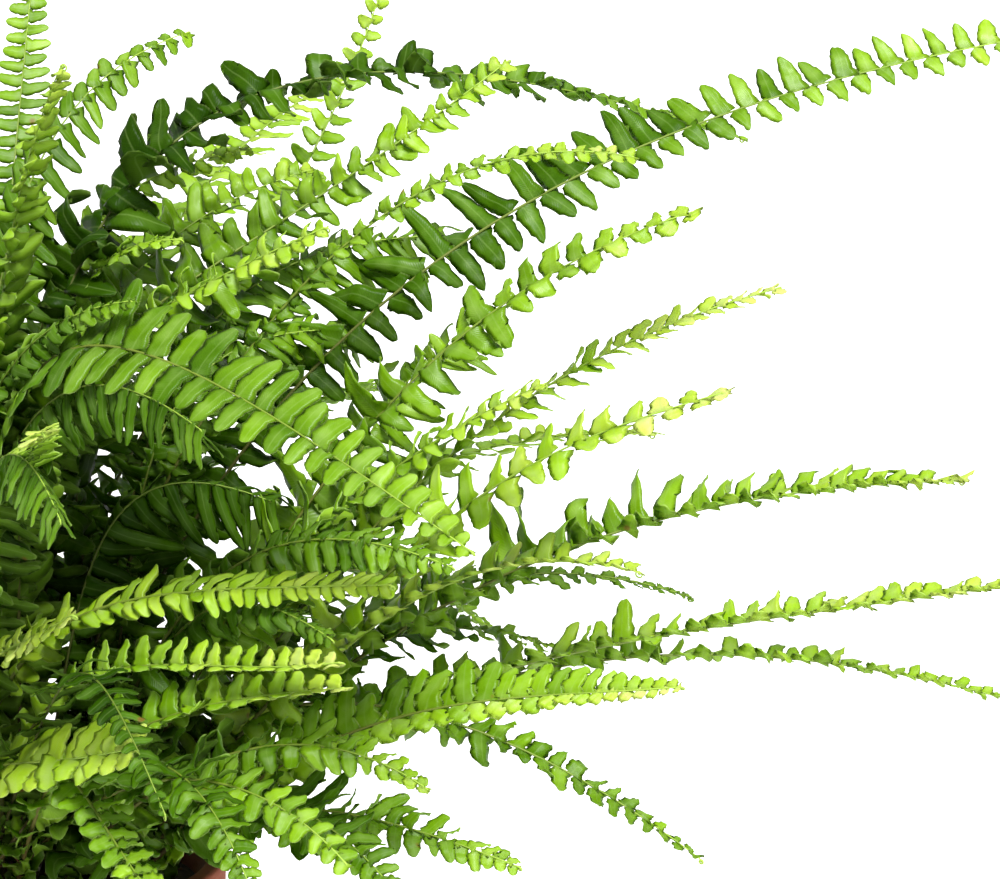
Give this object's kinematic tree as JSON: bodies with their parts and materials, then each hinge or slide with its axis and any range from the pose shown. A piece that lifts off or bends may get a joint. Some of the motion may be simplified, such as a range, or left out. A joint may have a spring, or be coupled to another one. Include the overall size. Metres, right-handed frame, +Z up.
{
  "type": "potted fern",
  "caption": "Sword fern with arching, leaflet-cut fronds that spread all round from the soil of a plain round clay flower pot.",
  "frame": {"origin": "centre of the pot's flat underside, on the surface that it stands on", "axes": "+Z up along the pot's axis; the pictured side faces -Y, with the picture's right at +X"},
  "size_m": [0.8987, 0.8106, 0.5842],
  "materials": {
    "clay": "unglazed fired clay, matte",
    "soil": "damp potting mix, matte",
    "leaf_mature": "full grown frond, satin",
    "leaf_young": "young frond, satin"
  },
  "bodies": {
    "root": {"frond_01": "leaf_mature", "frond_02": "leaf_mature", "frond_03": "leaf_young", "frond_04": "leaf_young", "frond_05": "leaf_young", "frond_06": "leaf_young", "frond_07": "leaf_young", "frond_08": "leaf_young", "frond_09": "leaf_young", "frond_10": "leaf_mature", "frond_11": "leaf_mature", "frond_12": "leaf_young", "frond_13": "leaf_young", "frond_14": "leaf_young", "frond_15": "leaf_mature", "frond_16": "leaf_mature", "frond_17": "leaf_young", "frond_18": "leaf_mature", "frond_19": "leaf_mature", "frond_20": "leaf_mature", "frond_21": "leaf_young", "frond_22": "leaf_young", "frond_23": "leaf_mature", "frond_24": "leaf_young", "frond_25": "leaf_young", "frond_26": "leaf_young", "frond_27": "leaf_mature", "frond_28": "leaf_mature", "frond_29": "leaf_young", "frond_30": "leaf_mature", "frond_31": "leaf_young", "frond_32": "leaf_mature", "frond_33": "leaf_mature", "frond_34": "leaf_mature", "frond_35": "leaf_mature", "frond_36": "leaf_mature", "frond_37": "leaf_young", "frond_38": "leaf_young", "frond_39": "leaf_mature", "frond_40": "leaf_young", "frond_41": "leaf_mature", "frond_42": "leaf_mature", "frond_43": "leaf_young", "frond_44": "leaf_mature", "frond_45": "leaf_young", "frond_46": "leaf_young", "frond_47": "leaf_mature", "frond_48": "leaf_mature", "frond_49": "leaf_young", "frond_50": "leaf_mature", "frond_51": "leaf_mature", "frond_52": "leaf_young", "frond_53": "leaf_young", "frond_54": "leaf_mature", "frond_55": "leaf_young", "frond_56": "leaf_mature", "frond_57": "leaf_mature", "frond_58": "leaf_mature", "pot": "clay", "soil": "soil"}
  },
  "joints": []
}
